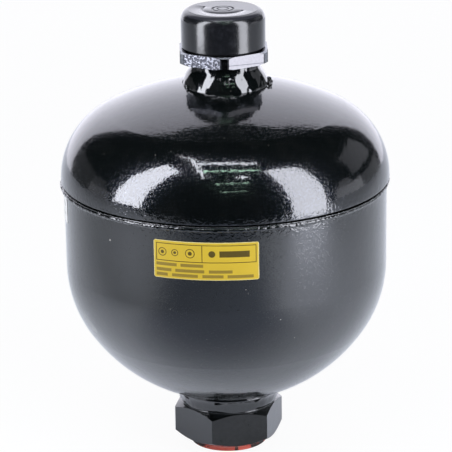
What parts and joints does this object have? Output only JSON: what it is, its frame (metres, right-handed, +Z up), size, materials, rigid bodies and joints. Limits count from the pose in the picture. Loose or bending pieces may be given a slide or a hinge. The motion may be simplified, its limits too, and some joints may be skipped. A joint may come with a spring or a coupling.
{
  "type": "diaphragm accumulator",
  "caption": "Welded steel diaphragm accumulator with a domed shell, a hexagon fluid port closed by a plastic plug and a gas valve under a screw-on cap.",
  "frame": {"origin": "centre of the underside of the transport plug, on which the accumulator stands", "axes": "+Z up along the axis of the vessel, from the fluid port to the gas valve; -Y is the side of the yellow label"},
  "size_m": [0.1381, 0.1382, 0.1893],
  "materials": {
    "shell_paint": "gloss",
    "boss_paint": "gloss",
    "zinc_plating": "satin",
    "bare_steel": "satin",
    "cap_plastic": "satin",
    "plug_plastic": "satin",
    "button_plastic": "satin",
    "rubber": "matte",
    "yellow_film": "satin",
    "white_film": "satin"
  },
  "bodies": {
    "vessel": {"port_boss": "boss_paint", "port_weld": "boss_paint", "lower_shell": "shell_paint", "upper_shell": "shell_paint", "girth_weld": "shell_paint", "retaining_ring": "bare_steel", "diaphragm": "rubber", "gas_boss": "boss_paint", "gas_boss_weld": "boss_paint", "valve_body": "zinc_plating", "valve_body_seal": "rubber", "charging_screw_seal": "rubber", "dust_seal": "rubber", "yellow_label": "yellow_film", "white_label": "white_film"},
    "plug": {"transport_plug": "plug_plastic"},
    "button": {"closing_button": "button_plastic"},
    "screw": {"charging_screw": "bare_steel"},
    "cap": {"protective_cap": "cap_plastic"}
  },
  "joints": [
    {"name": "plug_pull", "type": "slide", "parent": "vessel", "child": "plug", "axis": [0, 0, -1], "range_m": [0, 0.045]},
    {"name": "diaphragm_stroke", "type": "slide", "parent": "vessel", "child": "button", "axis": [0, 0, 1], "range_m": [0, 0.06], "stiffness_N_per_m": 100, "deforming": ["diaphragm"]},
    {"name": "screw_back_off", "type": "slide", "parent": "vessel", "child": "screw", "axis": [0, 0, 1], "range_m": [0, 0.002]},
    {"name": "cap_lift", "type": "slide", "parent": "vessel", "child": "cap", "axis": [0, 0, 1], "range_m": [0, 0.03]}
  ]
}
